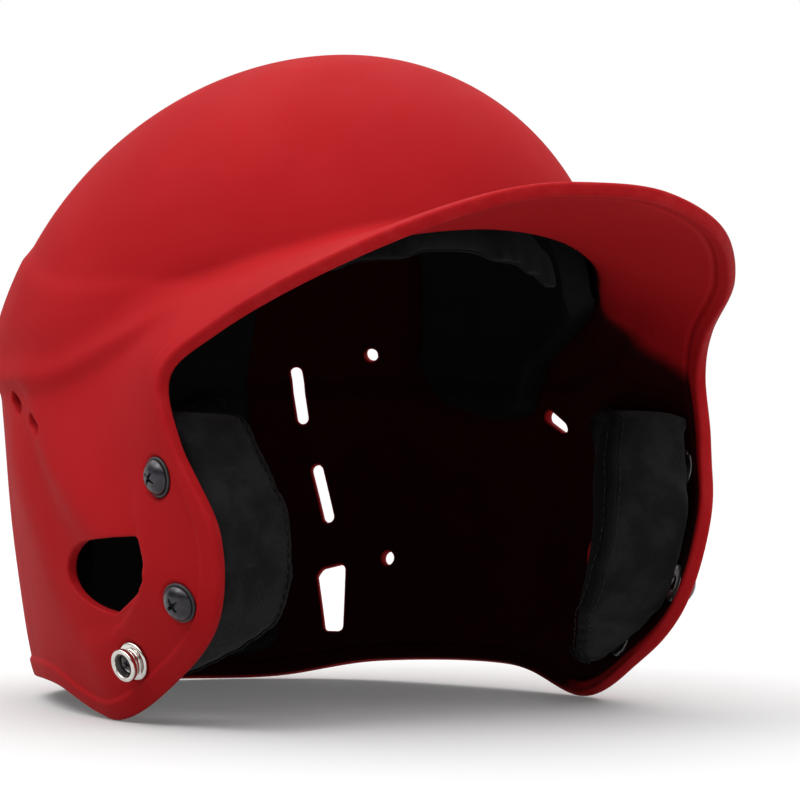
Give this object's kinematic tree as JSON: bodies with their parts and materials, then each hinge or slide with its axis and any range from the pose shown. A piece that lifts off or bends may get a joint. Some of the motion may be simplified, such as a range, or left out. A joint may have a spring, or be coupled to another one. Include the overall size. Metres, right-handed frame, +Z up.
{
  "type": "batting helmet",
  "caption": "Batting helmet with a one-piece shell, brim and two ear flaps, foam liner, fabric pads, face-guard screws and chin-strap studs",
  "frame": {"origin": "middle of the bounding box, on the plane the helmet stands on", "axes": "+Z up; wearer faces -Y; +X is the wearer's left; the left and right halves mirror across X = 0"},
  "size_m": [0.2152, 0.295, 0.2186],
  "materials": {
    "red_shell": "matte red ABS",
    "liner_foam": "black closed-cell foam",
    "ear_pad_fabric": "brushed charcoal knit over foam",
    "liner_fabric": "brushed charcoal knit over foam",
    "black_steel": "black oxide steel",
    "black_rubber": "black rubber",
    "plated_nut": "zinc plate",
    "nickel_stud": "nickel plate"
  },
  "bodies": {
    "helmet": {"shell": "red_shell", "crown_foam": "liner_foam", "front_foam": "liner_foam", "left_foam": "liner_foam", "right_foam": "liner_foam", "rear_foam": "liner_foam", "brow_pad": "liner_fabric", "crown_pad": "liner_fabric", "rear_pad": "ear_pad_fabric", "left_ear_pad": "ear_pad_fabric", "right_ear_pad": "ear_pad_fabric", "left_upper_washer": "black_rubber", "left_lower_washer": "black_rubber", "right_upper_washer": "black_rubber", "right_lower_washer": "black_rubber", "left_upper_nut": "plated_nut", "left_lower_nut": "plated_nut", "right_upper_nut": "plated_nut", "right_lower_nut": "plated_nut", "left_stud": "nickel_stud", "right_stud": "nickel_stud", "left_stud_screw": "black_steel", "right_stud_screw": "black_steel", "left_stud_nut": "plated_nut", "right_stud_nut": "plated_nut"},
    "left_upper_guard_screw": {"left_upper_guard_screw": "black_steel"},
    "left_lower_guard_screw": {"left_lower_guard_screw": "black_steel"},
    "right_upper_guard_screw": {"right_upper_guard_screw": "black_steel"},
    "right_lower_guard_screw": {"right_lower_guard_screw": "black_steel"}
  },
  "joints": [
    {"name": "left_upper_screw_turn", "type": "hinge", "parent": "helmet", "child": "left_upper_guard_screw", "pos_m": [0.10117, -0.05431, 0.07917], "axis": [0.9853, -0.0979, -0.1399], "continuous": true},
    {"name": "left_lower_screw_turn", "type": "hinge", "parent": "helmet", "child": "left_lower_guard_screw", "pos_m": [0.09486, -0.05795, 0.04068], "axis": [0.9034, -0.316, -0.2897], "continuous": true},
    {"name": "right_upper_screw_turn", "type": "hinge", "parent": "helmet", "child": "right_upper_guard_screw", "pos_m": [-0.10117, -0.05431, 0.07917], "axis": [-0.9853, -0.0979, -0.1399], "continuous": true},
    {"name": "right_lower_screw_turn", "type": "hinge", "parent": "helmet", "child": "right_lower_guard_screw", "pos_m": [-0.09486, -0.05795, 0.04068], "axis": [-0.9034, -0.316, -0.2897], "continuous": true}
  ]
}
